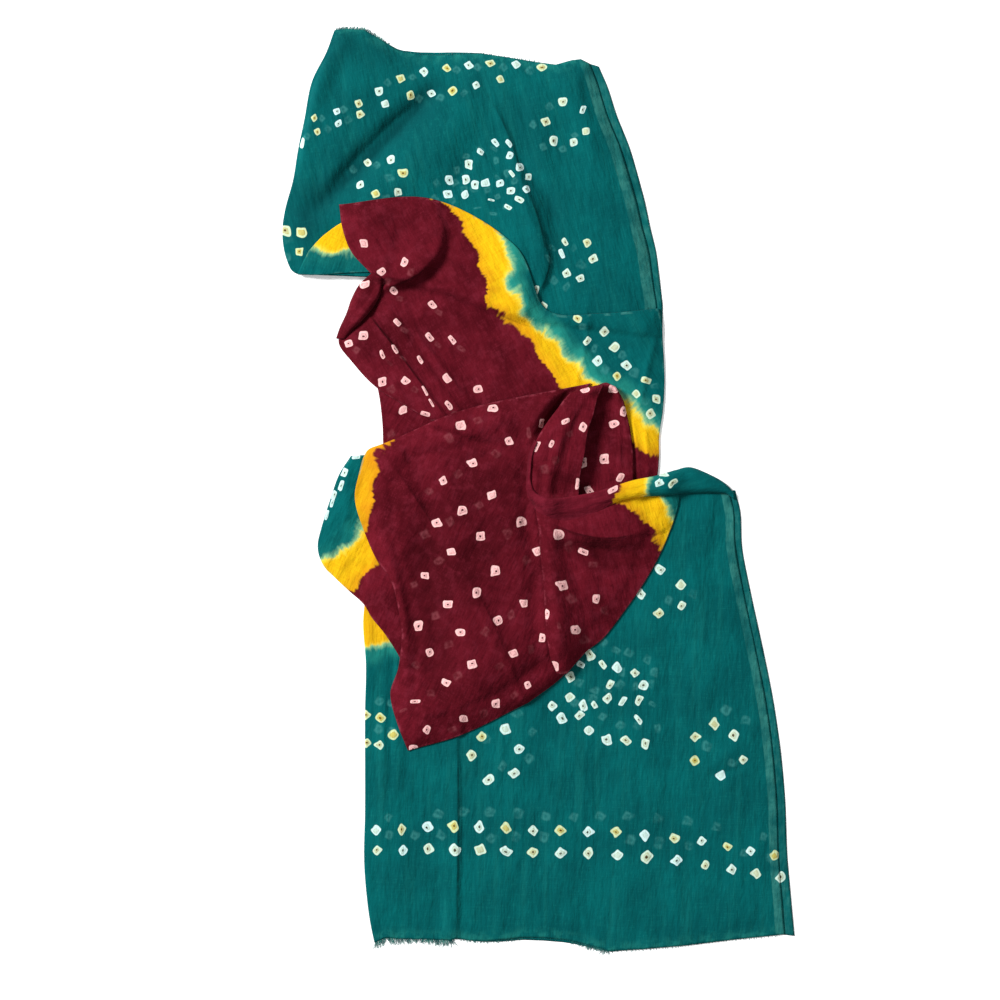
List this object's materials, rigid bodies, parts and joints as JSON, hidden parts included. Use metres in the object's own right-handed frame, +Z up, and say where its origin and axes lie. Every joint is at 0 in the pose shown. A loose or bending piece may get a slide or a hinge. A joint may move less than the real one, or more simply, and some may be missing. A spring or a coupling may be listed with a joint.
{
  "type": "dupatta stole",
  "caption": "Long cotton stole with tie-dyed dots and dyed bands, doubled lengthwise and dropped in loose folds on a surface.",
  "frame": {"origin": "middle of the outline, on the surface that the cloth lies on", "axes": "+Y along the stole's length towards its upper end, +X to the right as seen from above, +Z up out of the heap"},
  "size_m": [0.5616, 1.0286, 0.0295],
  "materials": {
    "green_cotton": "fine matt cotton, teal green dye with pale tied dots",
    "maroon_cotton": "fine matt cotton, dark maroon dye with pale pink tied dots"
  },
  "bodies": {
    "root": {"lower_end": "green_cotton", "lower_fray": "green_cotton", "upper_end": "green_cotton", "upper_fray": "green_cotton", "corner_turn": "green_cotton", "inner_layer": "maroon_cotton", "field": "maroon_cotton", "edge_curl": "maroon_cotton", "side_layer": "green_cotton", "hidden_layers": "maroon_cotton", "flap": "maroon_cotton", "flap_pleat": "maroon_cotton", "cowl_floor": "maroon_cotton", "cowl_lip": "maroon_cotton", "roll": "maroon_cotton"}
  },
  "joints": []
}
